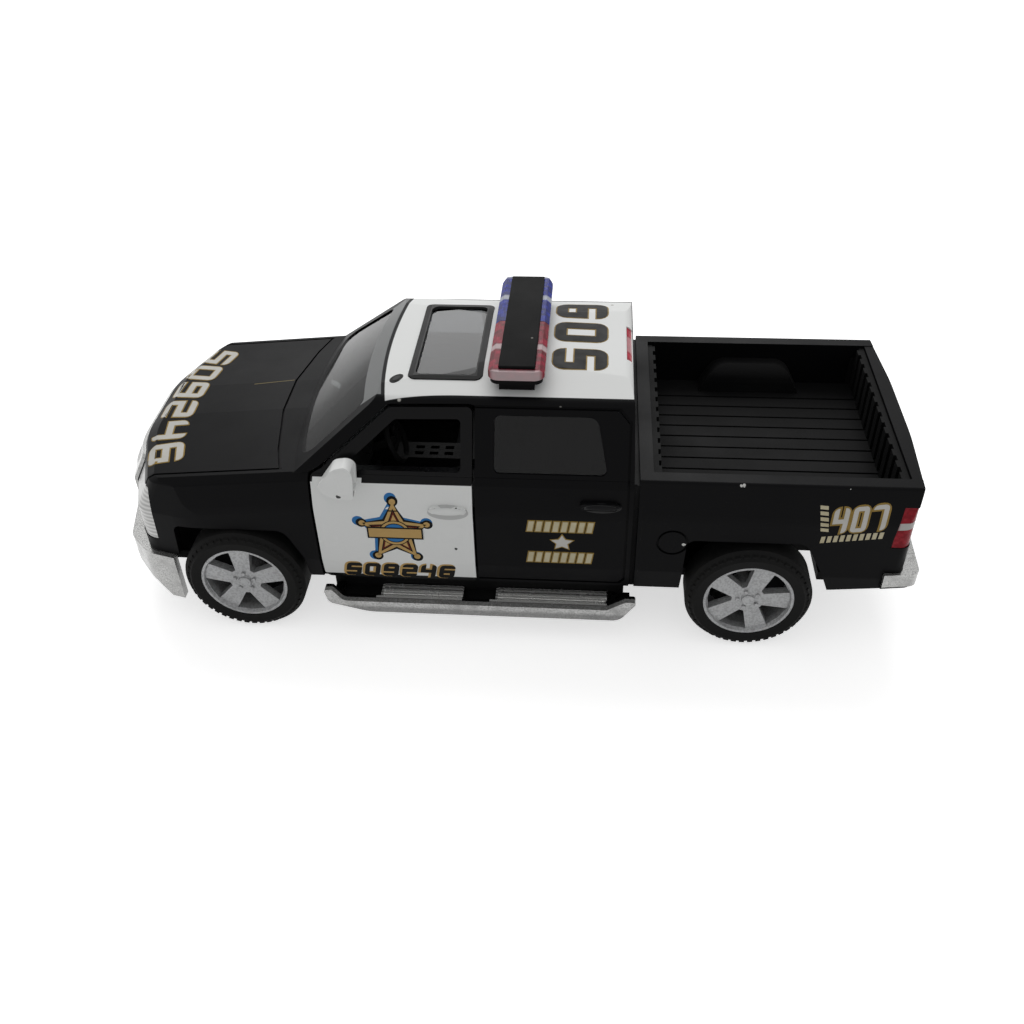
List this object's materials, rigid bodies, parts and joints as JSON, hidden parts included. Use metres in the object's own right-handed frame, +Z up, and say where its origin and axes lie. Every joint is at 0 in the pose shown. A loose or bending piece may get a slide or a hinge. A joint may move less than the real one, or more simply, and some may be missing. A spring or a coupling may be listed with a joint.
{
  "type": "toy police pickup",
  "caption": "Die-cast toy police pickup with a crew cab: opening front doors, rolling wheels, open load bed, light bar and running boards.",
  "frame": {"origin": "on the ground below the middle of the toy's box", "axes": "+X forward, +Y to the toy's left side, +Z up"},
  "size_m": [0.127, 0.0486, 0.0449],
  "materials": {
    "body_paint": "satin black paint on die-cast zinc, with chips at the edges",
    "door_paint": "gloss white paint on die-cast zinc",
    "screen_glass": "clear plastic",
    "dark_glass": "dark tinted plastic",
    "bed_plastic": "matte black",
    "lamp_clear": "clear ribbed plastic over a silver reflector",
    "bright_trim": "vacuum-plated plastic, worn",
    "lamp_red": "translucent red plastic",
    "lamp_blue": "translucent blue plastic",
    "trim_black": "black",
    "bar_plastic": "black",
    "base_plastic": "matte black",
    "cabin_plastic": "matte black",
    "axle_steel": "plain steel",
    "rim_plastic": "silver-grey",
    "tyre_rubber": "black"
  },
  "bodies": {
    "body": {"body_shell": "body_paint", "tailgate": "body_paint", "windshield": "screen_glass", "rear_window": "screen_glass", "rear_side_glass_left": "screen_glass", "rear_side_glass_right": "screen_glass", "sunroof_glass": "dark_glass", "sunroof_frame": "trim_black", "grille_insert": "trim_black", "rear_valance": "trim_black", "bed_liner": "bed_plastic", "headlamp_left": "lamp_clear", "headlamp_right": "lamp_clear", "front_grille": "bright_trim", "front_bumper": "bright_trim", "rear_bumper": "bright_trim", "running_board_left": "bright_trim", "running_board_right": "bright_trim", "tail_lamp_left": "lamp_red", "tail_lamp_right": "lamp_red", "light_bar_lens_red": "lamp_red", "brake_lamp_high": "lamp_red", "light_bar_lens_blue": "lamp_blue", "light_bar_base": "bar_plastic", "light_bar_cover": "bar_plastic", "base_plate": "base_plastic", "pull_back_motor": "base_plastic", "cabin_tub": "cabin_plastic", "dashboard": "cabin_plastic", "seat_front_left": "cabin_plastic", "seat_front_right": "cabin_plastic", "rear_bench": "cabin_plastic", "steering_wheel": "cabin_plastic"},
    "door_left": {"door_left": "door_paint"},
    "door_right": {"door_right": "door_paint"},
    "front_wheels": {"axle_front": "axle_steel", "rim_front_left": "rim_plastic", "tyre_front_left": "tyre_rubber", "rim_front_right": "rim_plastic", "tyre_front_right": "tyre_rubber"},
    "rear_wheels": {"axle_rear": "axle_steel", "rim_rear_left": "rim_plastic", "tyre_rear_left": "tyre_rubber", "rim_rear_right": "rim_plastic", "tyre_rear_right": "tyre_rubber"}
  },
  "joints": [
    {"name": "front_wheel_spin", "type": "hinge", "parent": "body", "child": "front_wheels", "pos_m": [0.0412, 0, 0.0097], "axis": [0, 1, 0], "continuous": true},
    {"name": "rear_wheel_spin", "type": "hinge", "parent": "body", "child": "rear_wheels", "pos_m": [-0.038, 0, 0.0097], "axis": [0, 1, 0], "continuous": true},
    {"name": "left_door_hinge", "type": "hinge", "parent": "body", "child": "door_left", "pos_m": [0.0271, 0.0216, 0.02], "axis": [0, 0, -1], "range_deg": [0, 60]},
    {"name": "right_door_hinge", "type": "hinge", "parent": "body", "child": "door_right", "pos_m": [0.0271, -0.0216, 0.02], "axis": [0, 0, 1], "range_deg": [0, 60]}
  ]
}
